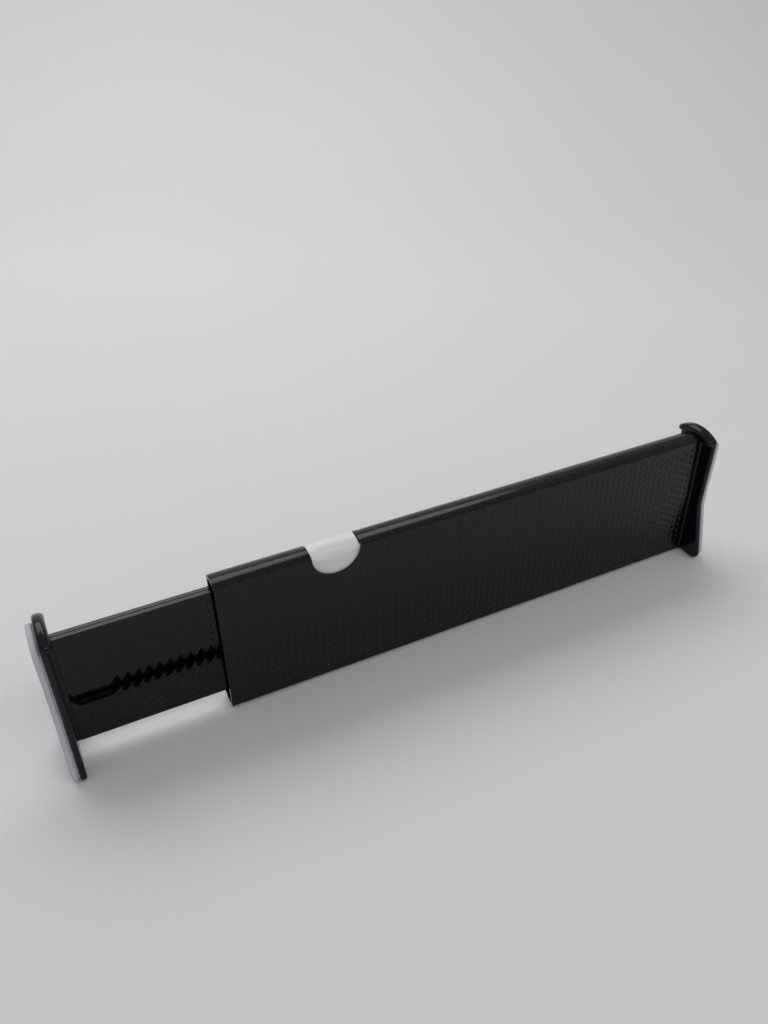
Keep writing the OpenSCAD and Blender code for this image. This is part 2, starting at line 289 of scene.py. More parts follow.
def clear_points(tree, lattice, patch, outline, clearance):
    """The lattice's points that lie on the patch and clear of its outline."""
    edge = add_node(tree, "GeometryNodeCurveToMesh", {"Curve": outline}).outputs[0]
    gap = add_node(
        tree, "GeometryNodeProximity", {0: edge}, target_element="EDGES"
    ).outputs["Distance"]
    near = add_node(
        tree, "FunctionNodeCompare", {0: gap, 1: clearance}, operation="LESS_THAN"
    ).outputs[0]
    place = add_node(tree, "GeometryNodeInputPosition").outputs[0]
    inside = add_node(
        tree, "GeometryNodeRaycast",
        {
            "Target Geometry": patch,
            "Source Position": vector_maths(tree, "ADD", place, (0.0, 0.0, 1.0)),
            "Ray Direction": (0, 0, -1), "Ray Length": 2.0,
        },
    ).outputs["Is Hit"]
    outside = add_node(tree, "FunctionNodeBooleanMath", {0: inside}, operation="NOT").outputs[0]
    drop = add_node(
        tree, "FunctionNodeBooleanMath", {0: outside, 1: near}, operation="OR"
    ).outputs[0]
    return add_node(
        tree, "GeometryNodeDeleteGeometry", {"Geometry": lattice, "Selection": drop}, domain="POINT"
    ).outputs[0]


def bowl(tree, sides, radius, depth):
    """A dimple round the origin: a cone whose rings are set on a dished curve."""
    cone = add_node(
        tree, "GeometryNodeMeshCone",
        {
            "Vertices": sides, "Side Segments": 3, "Radius Top": 0.0, "Radius Bottom": radius,
            "Depth": depth,
        },
        fill_type="NONE",
    ).outputs[0]
    at = split_xyz(tree, add_node(tree, "GeometryNodeInputPosition").outputs[0])
    flatwise = add_node(tree, "ShaderNodeCombineXYZ", {0: at[0], 1: at[1]}).outputs[0]
    reach = add_node(
        tree, "ShaderNodeVectorMath", {0: flatwise}, operation="LENGTH"
    ).outputs["Value"]
    share = maths(tree, "POWER", maths(tree, "DIVIDE", reach, radius), 2.0)
    sunk = maths(tree, "MULTIPLY", maths(tree, "SUBTRACT", share, 1.0), depth)
    place = add_node(tree, "ShaderNodeCombineXYZ", {0: at[0], 1: at[1], 2: sunk}).outputs[0]
    return add_node(
        tree, "GeometryNodeSetPosition", {"Geometry": cone, "Position": place}
    ).outputs[0]


def dimple_tree():
    """Fills a flat outline on the XY plane and sinks a honeycomb of round dimples into it."""
    tree, given, result = new_tree(
        "Dimpled face", "GeometryNodeTree",
        {
            "Outline": "NodeSocketGeometry", "Column pitch": "NodeSocketFloat",
            "Row pitch": "NodeSocketFloat", "Dimple radius": "NodeSocketFloat",
            "Dimple depth": "NodeSocketFloat", "Margin": "NodeSocketFloat",
            "Dimple sides": "NodeSocketInt", "Material": "NodeSocketMaterial",
        },
        {"Face": "NodeSocketGeometry"},
    )
    get = given.outputs
    patch, radius, sides = get["Outline"], get["Dimple radius"], get["Dimple sides"]
    outline = patch_outline(tree, patch)
    lattice = honeycomb(tree, patch, get["Column pitch"], get["Row pitch"])
    clearance = maths(tree, "ADD", radius, get["Margin"])
    points = clear_points(tree, lattice, patch, outline, clearance)
    # The flat part is the outline filled around a circle at each point
    rim = add_node(
        tree, "GeometryNodeCurvePrimitiveCircle", {"Resolution": sides, "Radius": radius}
    ).outputs[0]
    lines = join(tree, outline, stamp(tree, points, rim))
    flat = add_node(tree, "GeometryNodeFillCurve", {0: lines}).outputs[0]
    bowls = stamp(tree, points, bowl(tree, sides, radius, get["Dimple depth"]))
    whole = add_node(
        tree, "GeometryNodeMergeByDistance",
        {"Geometry": join(tree, flat, bowls), "Distance": 0.003 * MM},
    ).outputs[0]
    finished = add_node(
        tree, "GeometryNodeSetMaterial", {"Geometry": whole, "Material": get["Material"]}
    ).outputs[0]
    tree.links.new(finished, result.inputs[0])
    return tree


def wire_tree():
    """Sweeps a round wire along a line of edges."""
    tree, given, result = new_tree(
        "Wire along a path", "GeometryNodeTree",
        {
            "Path": "NodeSocketGeometry", "Wire radius": "NodeSocketFloat",
            "Material": "NodeSocketMaterial",
        },
        {"Wire": "NodeSocketGeometry"},
    )
    path = add_node(tree, "GeometryNodeMeshToCurve", {"Mesh": given.outputs["Path"]}).outputs[0]
    ring = add_node(
        tree, "GeometryNodeCurvePrimitiveCircle",
        {"Resolution": 12, "Radius": given.outputs["Wire radius"]},
    ).outputs[0]
    wire = add_node(
        tree, "GeometryNodeCurveToMesh", {"Curve": path, "Profile Curve": ring, "Fill Caps": True}
    ).outputs[0]
    finished = add_node(
        tree, "GeometryNodeSetMaterial", {"Geometry": wire, "Material": given.outputs["Material"]}
    ).outputs[0]
    tree.links.new(finished, result.inputs[0])
    return tree


# ---------------------------------------------------------------- shared surface effects


def grain_group():
    """Fine moulded grain: a height, and a slow mottling from 0 to 1."""
    tree, given, result = new_tree(
        "Fine grain", "ShaderNodeTree",
        {"Vector": "NodeSocketVector", "Scale": ("NodeSocketFloat", 2500.0)},
        {"Height": "NodeSocketFloat", "Mottle": "NodeSocketFloat"},
    )
    fine = add_node(
        tree, "ShaderNodeTexNoise",
        {"Vector": given.outputs["Vector"], "Scale": given.outputs["Scale"], "Detail": 3.0},
    ).outputs[0]
    slow = add_node(
        tree, "ShaderNodeTexNoise",
        {
            "Vector": given.outputs["Vector"],
            "Scale": maths(tree, "MULTIPLY", given.outputs["Scale"], 0.02), "Detail": 4.0,
        },
    ).outputs[0]
    tree.links.new(fine, result.inputs["Height"])
    tree.links.new(slow, result.inputs["Mottle"])
    return tree


def scratch_group():
    """Hairline scratches along X: 1 on a scratch, 0 elsewhere."""
    tree, given, result = new_tree(
        "Hairlines", "ShaderNodeTree",
        {"Vector": "NodeSocketVector", "Scale": ("NodeSocketFloat", 900.0)},
        {"Mask": "NodeSocketFloat"},
    )
    masks = []
    turns = (0.12, -0.35)
    for turn in turns:
        long_way = add_node(
            tree, "ShaderNodeMapping",
            {
                "Vector": given.outputs["Vector"], "Rotation": (0.0, turn, 0.0),
                "Scale": (0.02, 1.0, 1.0),
            },
        ).outputs[0]
        lines = add_node(
            tree, "ShaderNodeTexNoise",
            {"Vector": long_way, "Scale": given.outputs["Scale"], "Detail": 2.0},
        ).outputs[0]
        masks.append(
            add_node(
                tree, "ShaderNodeMapRange",
                {"Value": lines, "From Min": 0.70, "From Max": 0.78, "To Min": 0.0, "To Max": 1.0},
            ).outputs[0]
        )
    tree.links.new(maths(tree, "MAXIMUM", *masks), result.inputs["Mask"])
    return tree


def dust_group():
    """Dust that settles on faces that look up: 0 where clean, 1 where dusty."""
    tree, given, result = new_tree(
        "Settled dust", "ShaderNodeTree",
        {
            "Vector": "NodeSocketVector", "Scale": ("NodeSocketFloat", 700.0),
            "Amount": ("NodeSocketFloat", 0.2),
        },
        {"Mask": "NodeSocketFloat"},
    )
    normal = add_node(tree, "ShaderNodeNewGeometry").outputs["Normal"]
    up = split_xyz(tree, normal)[2]
    up = add_node(
        tree, "ShaderNodeMapRange", {"Value": up, "From Min": 0.2, "From Max": 1.0}
    ).outputs[0]
    specks = add_node(
        tree, "ShaderNodeTexNoise",
        {"Vector": given.outputs["Vector"], "Scale": given.outputs["Scale"], "Detail": 6.0},
    ).outputs[0]
    specks = add_node(
        tree, "ShaderNodeMapRange", {"Value": specks, "From Min": 0.45, "From Max": 0.75}
    ).outputs[0]
    mask = maths(tree, "MULTIPLY", maths(tree, "MULTIPLY", up, specks), given.outputs["Amount"])
    tree.links.new(mask, result.inputs["Mask"])
    return tree


def shared_group(make):
    """The group that this function makes, made once."""
    name = "Shared " + make.__name__
    found = bpy.data.node_groups.get(name)
    if found is None:
        found = make()
        found.name = name
    return found


def put_group(tree, make, **inputs):
    """Places a shared group in a material with its own values."""
    node = tree.nodes.new("ShaderNodeGroup")
    node.node_tree = shared_group(make)
    for key, value in inputs.items():
        feed(tree, node.inputs[key], value)
    return node.outputs


def blank_material(name):
    """A new material: its tree, its Principled shader and its Object coordinates."""
    material = bpy.data.materials.new(name)
    material.use_nodes = True
    tree = material.node_tree
    shader = tree.nodes["Principled BSDF"]
    return material, tree, shader, add_node(tree, "ShaderNodeTexCoord").outputs["Object"]


def mix_colour(tree, share, first, second):
    """The first colour where share is 0, the second where it is 1."""
    node = tree.nodes.new("ShaderNodeMix")
    node.data_type = "RGBA"
    feed(tree, node.inputs[0], share)
    for socket, colour in ((node.inputs[6], first), (node.inputs[7], second)):
        feed(tree, socket, (*colour, 1.0) if isinstance(colour, tuple) else colour)
    return node.outputs[2]


def spread(tree, value, low, high):
    """Low where the value is 0, high where it is 1."""
    return add_node(
        tree, "ShaderNodeMapRange", {"Value": value, "To Min": low, "To Max": high}
    ).outputs[0]


def dimmed(colour, share):
    return tuple(share * c for c in colour)


def bump(tree, shader, height, distance, strength=1.0):
    node = add_node(
        tree, "ShaderNodeBump", {"Height": height, "Distance": distance, "Strength": strength}
    )
    tree.links.new(node.outputs[0], shader.inputs["Normal"])


# ---------------------------------------------------------------- materials


DUST = (0.42, 0.41, 0.40)


def plastic(name, colour, roughness, dust=0.12, grain=0.004 * MM, shine=0.5):
    """Moulded plastic: mottled gloss, hairlines, fine grain and a little settled dust."""
    material, tree, shader, where = blank_material(name)
    shader.inputs["Specular IOR Level"].default_value = shine
    fine = put_group(tree, grain_group, Vector=where)
    lines = put_group(tree, scratch_group, Vector=where)["Mask"]
    dusty = put_group(tree, dust_group, Vector=where, Amount=dust)["Mask"]
    body = mix_colour(tree, spread(tree, fine["Mottle"], 0.0, 1.0), dimmed(colour, 0.82), colour)
    tree.links.new(mix_colour(tree, dusty, body, DUST), shader.inputs["Base Color"])
    rough = spread(tree, fine["Mottle"], roughness - 0.06, roughness + 0.06)
    rough = maths(tree, "ADD", rough, maths(tree, "MULTIPLY", lines, 0.12))
    rough = maths(tree, "ADD", rough, maths(tree, "MULTIPLY", dusty, 0.5))
    tree.links.new(rough, shader.inputs["Roughness"])
    height = maths(tree, "SUBTRACT", fine["Height"], maths(tree, "MULTIPLY", lines, 0.8))
    bump(tree, shader, height, grain)
    return material


def black_plastic():
    return found_material(
        "Black moulded plastic", plastic, colour=tuple(bpy.context.scene.divider_finish.black),
        roughness=0.15, dust=0.03, grain=0.001 * MM, shine=0.3,
    )


def lever_plastic():
    return found_material(
        "Black acetal", plastic, colour=(0.02, 0.02, 0.022), roughness=0.5, dust=0.0,
        grain=0.01 * MM,
    )


def white_plastic():
    return found_material(
        "White satin plastic", plastic, colour=tuple(bpy.context.scene.divider_finish.white),
        roughness=0.36, dust=0.05,
    )


def foam(name):
    """Closed-cell foam: small cells in the surface, pale with a lilac cast."""
    material, tree, shader, where = blank_material(name)
    colour = tuple(bpy.context.scene.divider_finish.foam)
    cells = add_node(
        tree, "ShaderNodeTexVoronoi", {"Vector": where, "Scale": 1600.0}
    ).outputs["Distance"]
    fine = put_group(tree, grain_group, Vector=where, Scale=4000.0)
    shade = mix_colour(tree, spread(tree, cells, 0.25, 1.0), dimmed(colour, 0.8), colour)
    warm = (colour[0] * 0.95, colour[1] * 0.93, colour[2] * 0.86)
    shade = mix_colour(tree, spread(tree, fine["Mottle"], 0.0, 0.7), shade, warm)
    tree.links.new(shade, shader.inputs["Base Color"])
    tree.links.new(spread(tree, cells, 0.95, 0.8), shader.inputs["Roughness"])
    shader.inputs["Sheen Weight"].default_value = 0.25
    shader.inputs["Specular IOR Level"].default_value = 0.25
    height = maths(tree, "ADD", cells, maths(tree, "MULTIPLY", fine["Height"], 0.4))
    bump(tree, shader, height, 0.12 * MM)
    return material


def steel(name):
    """Zinc-plated steel: bright, with drawn lines and a few dull patches."""
    material, tree, shader, where = blank_material(name)
    colour = tuple(bpy.context.scene.divider_finish.steel)
    fine = put_group(tree, grain_group, Vector=where, Scale=3000.0)
    lines = put_group(tree, scratch_group, Vector=where, Scale=2500.0)["Mask"]
    shade = mix_colour(tree, fine["Mottle"], dimmed(colour, 0.72), colour)
    tree.links.new(shade, shader.inputs["Base Color"])
    shader.inputs["Metallic"].default_value = 1.0
    rough = spread(tree, fine["Mottle"], 0.2, 0.38)
    rough = maths(tree, "ADD", rough, maths(tree, "MULTIPLY", lines, 0.15))
    tree.links.new(rough, shader.inputs["Roughness"])
    bump(tree, shader, maths(tree, "SUBTRACT", fine["Height"], lines), 0.004 * MM)
    return material


def tape(name):
    """White film tape with a faint fibre."""
    material, tree, shader, where = blank_material(name)
    fine = put_group(tree, grain_group, Vector=where, Scale=1200.0)
    lines = put_group(tree, scratch_group, Vector=where, Scale=600.0)["Mask"]
    shade = mix_colour(tree, fine["Mottle"], (0.62, 0.62, 0.6), (0.8, 0.8, 0.79))
    shade = mix_colour(tree, maths(tree, "MULTIPLY", lines, 0.4), shade, (0.5, 0.5, 0.49))
    tree.links.new(shade, shader.inputs["Base Color"])
    tree.links.new(spread(tree, fine["Mottle"], 0.5, 0.7), shader.inputs["Roughness"])
    bump(tree, shader, fine["Height"], 0.01 * MM)
    return material


def paper(name):
    """The sweep's paper: off-white, with a soft tooth and slow unevenness."""
    material, tree, shader, where = blank_material(name)
    fine = put_group(tree, grain_group, Vector=where, Scale=900.0)
    slow = add_node(
        tree, "ShaderNodeTexNoise", {"Vector": where, "Scale": 2.5, "Detail": 3.0}
    ).outputs[0]
    shade = mix_colour(tree, slow, (0.735, 0.735, 0.735), (0.79, 0.79, 0.795))
    tree.links.new(shade, shader.inputs["Base Color"])
    tree.links.new(spread(tree, slow, 0.55, 0.7), shader.inputs["Roughness"])
    shader.inputs["Specular IOR Level"].default_value = 0.3
    bump(tree, shader, fine["Height"], 0.03 * MM)
    return material


def found_material(name, make, **values):
    """The material of this name, made once."""
    return bpy.data.materials.get(name) or make(name, **values)


# ---------------------------------------------------------------- mesh work


def cad_copy(node):
    """A copy of a node's mesh with its loose triangles merged into whole faces."""
    shape = bmesh.new()
    shape.from_mesh(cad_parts[node].data)
    bmesh.ops.remove_doubles(shape, verts=shape.verts, dist=TINY / 4)
    bmesh.ops.dissolve_limit(
        shape, angle_limit=math.radians(0.3), verts=shape.verts, edges=shape.edges
    )
    return shape


def soften(shape, picked, radius, segments=4):
    """Rounds the sharp outer edges whose two ends are picked."""
    edges = [
        e for e in shape.edges
        if len(e.link_faces) == 2 and e.is_convex
        and e.calc_face_angle() > math.radians(30)
        and picked(e.verts[0].co, e.verts[1].co)
    ]
    bmesh.ops.bevel(
        shape, geom=edges, offset=radius, segments=segments, profile=0.5,
        affect="EDGES", clamp_overlap=True,
    )


def arc(across, up, r, start, end, steps):
    """Points of an arc round (across, up), from start to end in degrees."""
    turns = [math.radians(start + (end - start) * i / steps) for i in range(steps + 1)]
    return [(across + r * math.cos(t), up + r * math.sin(t)) for t in turns]


def make_piece(name, shape, material):
    mesh = bpy.data.meshes.new(name)
    shape.to_mesh(mesh)
    shape.free()
    mesh.materials.append(material)
    piece = bpy.data.objects.new(name, mesh)
    bpy.context.scene.collection.objects.link(piece)
    return piece


def smooth(piece, angle=24):
    """Smooth shading between edges sharper than the angle, weighted so that flats stay flat."""
    piece.data.shade_smooth()
    piece.data.set_sharp_from_angle(angle=math.radians(angle))
    weighted = piece.modifiers.new("Weighted normals", "WEIGHTED_NORMAL")
    weighted.keep_sharp = True
    return settle(piece)


def hand_in(piece, body, slot, *nodes):
    """Puts a finished piece on its body, in place of its CAD nodes."""
    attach(piece, body)
    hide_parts(*nodes)
    return piece


def dimple_face(shape, plane_y, side, material):
    """Swaps the flat face at plane_y, which looks along side * Y, for a dimpled one."""
    texture = bpy.context.scene.divider_texture
    face = [
        f for f in shape.faces
        if f.normal.y * side > 0.999 and all(abs(v.co.y - plane_y) < TINY for v in f.verts)
    ]
    # Lays the face on the XY plane with its outside up
    lay = Matrix.Rotation(math.pi / 2 * side, 4, "X") @ Matrix.Translation((0, -plane_y, 0))
    patch = bmesh.new()
    copies = {}
    for f in face:
        for v in f.verts:
            if v not in copies:
                copies[v] = patch.verts.new(lay @ v.co)
        patch.faces.new([copies[v] for v in f.verts])
    flat = make_piece("flat_patch", patch, material)
    run_tree(
        flat, bpy.data.node_groups.get("Dimpled face") or dimple_tree(),
        {
            "Column pitch": texture.column_pitch, "Row pitch": texture.row_pitch,
            "Dimple radius": texture.dimple_radius, "Dimple depth": texture.dimple_depth,
            "Margin": texture.margin, "Dimple sides": texture.dimple_sides, "Material": material,
        },
    )
    flat.data.transform(lay.inverted())
    bmesh.ops.delete(shape, geom=face, context="FACES_ONLY")
    shape.from_mesh(flat.data)
    mesh = flat.data
    bpy.data.objects.remove(flat)
    bpy.data.meshes.remove(mesh)
    bmesh.ops.remove_doubles(shape, verts=shape.verts, dist=TINY)
    bmesh.ops.recalc_face_normals(shape, faces=shape.faces)


def cut_seam(piece, seam_y, top):
    """Opens the hairline where two halves meet along the top, from end to end."""
    slit = bmesh.new()
    bmesh.ops.create_cube(slit, size=1)
    for v in slit.verts:
        v.co = Vector((v.co.x, seam_y + v.co.y * SEAM_WIDTH, top + v.co.z * 2 * SEAM_DEPTH))
    return combine(piece, make_piece("slit", slit, black_plastic()), "DIFFERENCE")


def both_at(axis, place, a, b):
    """True if two points are both at this place along the axis."""
    return all(abs(getattr(p, axis) - place) < TINY for p in (a, b))


def on_crown(point):
    """True for a point on the outer arc of the sleeve's top or bottom."""
    for centre, side in ((SLEEVE_HIGH.z - CROWN_R, 1), (SLEEVE_LOW.z + CROWN_R, -1)):
        off_arc = abs(math.hypot(point.y, point.z - centre) - CROWN_R)
        if (point.z - centre) * side > 0 and off_arc < 5 * TINY:
            return True
    return False


def sleeve_shell(name, node, side):
    """One half of the sleeve, with softened outer edges and a dimpled face."""
    texture = bpy.context.scene.divider_texture
    plane = side * BACK_HIGH.y
    shape = cad_copy(node)

    def outer(p):
        return abs(p.y - plane) < TINY or on_crown(p)

    def at_notch(p):
        return abs(math.hypot(p.x - BUTTON_X, p.z - FACE_TOP) - NOTCH_R) < 0.05 * MM

    def at_end(a, b):
        return any(both_at("x", x, a, b) for x in (SLEEVE_LOW.x, SLEEVE_HIGH.x))

    def seam(a, b):
        return both_at("y", 0, a, b) and on_crown(a) and on_crown(b) and abs(a.x - b.x) > MM

    def rim(a, b):
        if not (outer(a) and outer(b)) or seam(a, b):
            return False
        along_face = both_at("y", plane, a, b)
        return along_face or at_end(a, b) or (at_notch(a) and at_notch(b))

    soften(shape, seam, texture.seam_radius, 2)
    soften(shape, rim, texture.edge_radius)
    dimple_face(shape, plane, side, black_plastic())
    piece = cut_seam(make_piece(name, shape, black_plastic()), 0.0, SLEEVE_HIGH.z)
    hand_in(smooth(piece), "sleeve", "black_plastic", node)


def slider_panel(name, node, side):
    """One half of the slider, with softened long edges and a dimpled face."""
    texture = bpy.context.scene.divider_texture
    plane = PANEL_LOW.y if side < 0 else PANEL_BACK
    shape = cad_copy(node)

    def long_edge(a, b):
        level = any(both_at("z", z, a, b) for z in (PANEL_LOW.z, PANEL_HIGH.z))
        return level and abs(a.x - b.x) > MM

    def on(y):
        return lambda a, b: long_edge(a, b) and both_at("y", y, a, b)

    soften(shape, on(PANEL_HIGH.y), texture.seam_radius, 2)
    soften(shape, on(plane), texture.edge_radius)
    dimple_face(shape, plane, side, black_plastic())
    piece = cut_seam(make_piece(name, shape, black_plastic()), PANEL_HIGH.y, PANEL_HIGH.z)
    hand_in(smooth(piece), "slider", "black_plastic", node)


# ---------------------------------------------------------------- foot plates and pads


PLATE_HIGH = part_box("fixed_end_plate")[1].z
PLATE_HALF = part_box("fixed_end_plate")[1].y
TOP_HALF, WAIST_HALF, WAIST_Z = 13.1 * MM, 12 * MM, 36.1 * MM
CORNER_R, FOOT_R, NOSE_R = 2.2 * MM, 4 * MM, 1 * MM
# How much a corner's radius shrinks as its outline is pulled in
CORNER_SHRINK, NOSE_SHRINK = 0.6, 0.2
FLANGE = 3.2 * MM
# Rims: how far each is rounded along X and across it
BULLNOSE = (1.4 * MM, 1.4 * MM)
CAP_OUTSIDE = (1.8 * MM, 1.8 * MM)
CAP_INSIDE = (2.4 * MM, 2.9 * MM)
PAD_RIM = (0.8 * MM, 0.8 * MM)
CAP_BOTTOM = FACE_TOP - 1 * MM
COLLAR_STEP = 0.5 * MM
# Solids that are joined keep their faces this far apart
WELD = 0.03 * MM


def both_halves(half):
    """A closed outline from its right half, which ends on the middle line."""
    return half + [(-y, z) for y, z in reversed(half[:-1])]


def foot_and_waist(inset, bottom):
    """Right half of the flange's outline, from its rounded foot up to above its waist."""
    foot_r = max(FOOT_R - inset, 0.8 * MM)
    waist = WAIST_HALF - inset
    return arc(PLATE_HALF - inset - foot_r, bottom + foot_r, foot_r, -90, 8, 12) + [
        (waist + 0.9 * MM, WAIST_Z - 5 * MM), (waist + 0.3 * MM, WAIST_Z - 2 * MM),
        (waist, WAIST_Z + 1 * MM), (waist + 0.1 * MM, WAIST_Z + 4 * MM),
    ]


def arched_top(inset, drop=0.0, shoulder=0.0):
    """Right half of the plate's arched top; drop lowers the arch and shoulder its corners."""
    corner_r = CORNER_R - CORNER_SHRINK * inset
    side = TOP_HALF - inset - corner_r
    side_z = CAP_BOTTOM + NOSE_R + NOSE_SHRINK * inset - shoulder
    top = PLATE_HIGH - inset - drop
    rise = top - side_z
    arch_r = (side**2 + rise**2 - corner_r**2) / (2 * (rise - corner_r))
    lean = math.degrees(math.atan2(side_z - (top - arch_r), side))
    corner = arc(side, side_z, corner_r, 0, lean, 8)
    return corner + arc(0, top - arch_r, arch_r, lean, 90, 14)[1:]


def flange_outline(inset=0.0):
    """The flange, pulled in by inset; its top lies inside the cap."""
    top = TOP_HALF - inset
    return both_halves(foot_and_waist(inset, inset) + [
        (top - 2 * WELD, CAP_BOTTOM), (top - 3 * WELD, CAP_BOTTOM + MM), (0, CAP_BOTTOM + MM)
    ])


def cap_outline(inset=0.0):
    """The thick cap along the plate's arched top, pulled in by inset."""
    nose_r = NOSE_R - NOSE_SHRINK * inset
    nose_z = CAP_BOTTOM + 2 * NOSE_SHRINK * inset + nose_r
    return both_halves(
        arc(TOP_HALF - inset - nose_r, nose_z, nose_r, -90, 0, 6)[:-1] + arched_top(inset)
    )


def loft(rings):
    """A closed solid through rings of equally many points, capped at both ends."""
    shape = bmesh.new()
    loops = [[shape.verts.new(p) for p in ring] for ring in rings]
    count = len(loops[0])
    for low, high in zip(loops, loops[1:]):
        for i in range(count):
            j = (i + 1) % count
            shape.faces.new((low[i], low[j], high[j], high[i]))
    shape.faces.new(loops[0])
    shape.faces.new(list(reversed(loops[-1])))
    bmesh.ops.recalc_face_normals(shape, faces=shape.faces)
    return shape


def bullnosed(outline, x0, x1, rim0, rim1, steps=6):
    """Rings of an outline from x0 to x1; each rim is an ellipse's (length along X, inset)."""
    turns = [math.pi / 2 * i / steps for i in range(steps + 1)]
    rings = [
        (x + way * rim[0] * (1 - math.sin(t)), rim[1] * (1 - math.cos(t)))
        for x, way, rim, order in ((x0, 1, rim0, reversed(turns)), (x1, -1, rim1, turns))
        for t in order
    ]
    return [[(x, y, z) for y, z in outline(inset)] for x, inset in rings]


def combine(piece, other, operation):
    """Joins other to the piece, or cuts it away, and removes it."""
    modifier = piece.modifiers.new(operation, "BOOLEAN")
    modifier.operation = operation
    modifier.solver = "EXACT"
    modifier.object = other
    settle(piece)
    mesh = other.data
    bpy.data.objects.remove(other)
    bpy.data.meshes.remove(mesh)
    return piece


def foot_plate(name, node, body, outward):
    """A bullnosed plate with a thick cap, a collar and counterbored screw holes."""
    low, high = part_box(node)
    black = black_plastic()
    if outward > 0:
        outer, inner, free = high.x, high.x - FLANGE, low.x
        half_width, foot, y_mid = BACK_HIGH.y + COLLAR_STEP, FACE_BOTTOM, 0.0
        bead = 1.1 * MM
    else:
        outer, inner, free = low.x, low.x + FLANGE, high.x
        half_width = (PANEL_BACK - PANEL_LOW.y) / 2 - COLLAR_STEP
        foot, y_mid, bead = PANEL_LOW.z, PANEL_HIGH.y, 0.2 * MM
    rims = (CAP_INSIDE, CAP_OUTSIDE)[::outward]
    cap = make_piece(name, loft(bullnosed(cap_outline, *sorted((outer, free)), *rims)), black)
    flange = bullnosed(
        flange_outline, *sorted((outer - outward * WELD, inner)), BULLNOSE, BULLNOSE
    )
    plate = combine(cap, make_piece("flange", loft(flange), black), "UNION")
    section = [(y_mid + y * half_width, z) for y, z in
               ((1, foot), (1, CAP_BOTTOM + MM), (-1, CAP_BOTTOM + MM), (-1, foot))]
    middle, end = (outer + inner) / 2, free + outward * WELD
    collar = loft([[(x, y, z) for y, z in section] for x in sorted((end, middle))])
    soften(collar, lambda a, b: both_at("x", end, a, b), bead)
    combine(plate, make_piece("collar", collar, black), "UNION")
    for x, z, r, depth in screw_holes(node, outer, middle):
        hole = bmesh.new()
        bmesh.ops.create_cone(
            hole, cap_ends=True, segments=40, radius1=r, radius2=r, depth=depth,
            matrix=Matrix.Translation((x, y_mid, z)) @ Matrix.Rotation(math.pi / 2, 4, "Y"),
        )
        combine(plate, make_piece("hole", hole, black), "DIFFERENCE")
    hand_in(smooth(plate), body, "black_plastic", node)


def screw_holes(node, outer, middle):
    """Middle, radius and length of each counterbore and bore in a plate."""
    low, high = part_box(node.replace("end_plate", "plate_screws"))
    head_r, bore_r, clearance = 2.4 * MM, 1.25 * MM, 0.2 * MM
    sink, right_through = 3 * MM, 30 * MM
    for z in (low.z + head_r - clearance, high.z - head_r + clearance):
        yield outer, z, head_r, sink
        yield middle, z, bore_r, right_through


def end_pad(name, node, body, outward):
    """A foam pad: soft rims and an uneven face, glued flat on its tape."""
    low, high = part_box(node)
    pad_inset = PLATE_HALF - high.y
    # More of the plate shows over the pad than beside it, and less shows under it
    bottom, drop, shoulder = 0.8 * pad_inset, 1.6 * pad_inset, 3 * MM
    lumps, dent_depth = 90, 0.22 * MM

    def outline(inset):
        foot = foot_and_waist(pad_inset + inset, bottom + inset)
        return both_halves(foot + arched_top(pad_inset + inset, drop, shoulder))

    soft = found_material("Foam", foam)
    pad = make_piece(name, loft(bullnosed(outline, low.x, high.x, PAD_RIM, PAD_RIM)), soft)
    remesh = pad.modifiers.new("Even cells", "REMESH")
    remesh.mode = "VOXEL"
    remesh.voxel_size = 0.7 * MM
    relax = pad.modifiers.new("Relax", "SMOOTH")
    relax.iterations = 4
    settle(pad)
    glued = low.x if outward > 0 else high.x
    for v in pad.data.vertices:
        free = min(1.0, abs(v.co.x - glued) / (high.x - low.x))
        dent = noise.fractal(v.co * lumps, 1.0, 2.0, 3) * 0.5 + 0.5
        v.co -= v.normal * free * dent * dent_depth
        v.co = Vector(min(max(c, l), h) for c, l, h in zip(v.co, low, high))
    pad.data.shade_smooth()
    pad.data.materials.clear()
    pad.data.materials.append(soft)
    hand_in(pad, body, "foam_pad", node)


# ---------------------------------------------------------------- button and latch


def push_button():
    """The white button, with soft rims round its thumb dish."""
    shape = cad_copy("release_button")

    lowest_rim, longest_edge = FACE_TOP - 6 * MM, 30 * MM

    def rim(a, b):
        return min(a.z, b.z) > lowest_rim and (a - b).length < longest_edge

    soften(shape, rim, 0.35 * MM)
    piece = smooth(make_piece("push_button", shape, white_plastic()), 30)
    hand_in(piece, "button", "white_plastic", "release_button")


def lever_spring():
    """A folded round wire between the shell's seat and the lever's foot."""
    low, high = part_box("return_spring")
    wire_r = 0.35 * MM
    runs = 4
    rise = (high.z - low.z - 2 * wire_r) / (runs - 1)
    turn_r = rise / 2
    left, right = low.x + wire_r + turn_r, high.x - wire_r - turn_r
    path = []
    for i in range(runs):
        z = low.z + wire_r + i * rise
        start, end, side = (left, right, 1) if i % 2 == 0 else (right, left, -1)
        path += [(start, z), (end, z)]
        if i < runs - 1:
            path += arc(end, z + turn_r, turn_r, -90, -90 + side * 180, 10)[1:-1]
    shape = bmesh.new()
    middle = (low.y + high.y) / 2
    verts = [shape.verts.new((x, middle, z)) for x, z in path]
    for a, b in zip(verts, verts[1:]):
        shape.edges.new((a, b))
    metal = found_material("Zinc-plated steel", steel)
    spring = make_piece("lever_spring", shape, metal)
    run_tree(spring, wire_tree(), {"Wire radius": wire_r, "Material": metal})
    spring.data.shade_smooth()
    hand_in(spring, "sleeve", "steel", "return_spring")
    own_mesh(spring)


def finish_nodes(material, *names):
    """Gives its material to each node that keeps its own shape."""
    for name in names:
        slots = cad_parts[name].data.materials
        slots.clear()
        slots.append(material)


# ---------------------------------------------------------------- stage


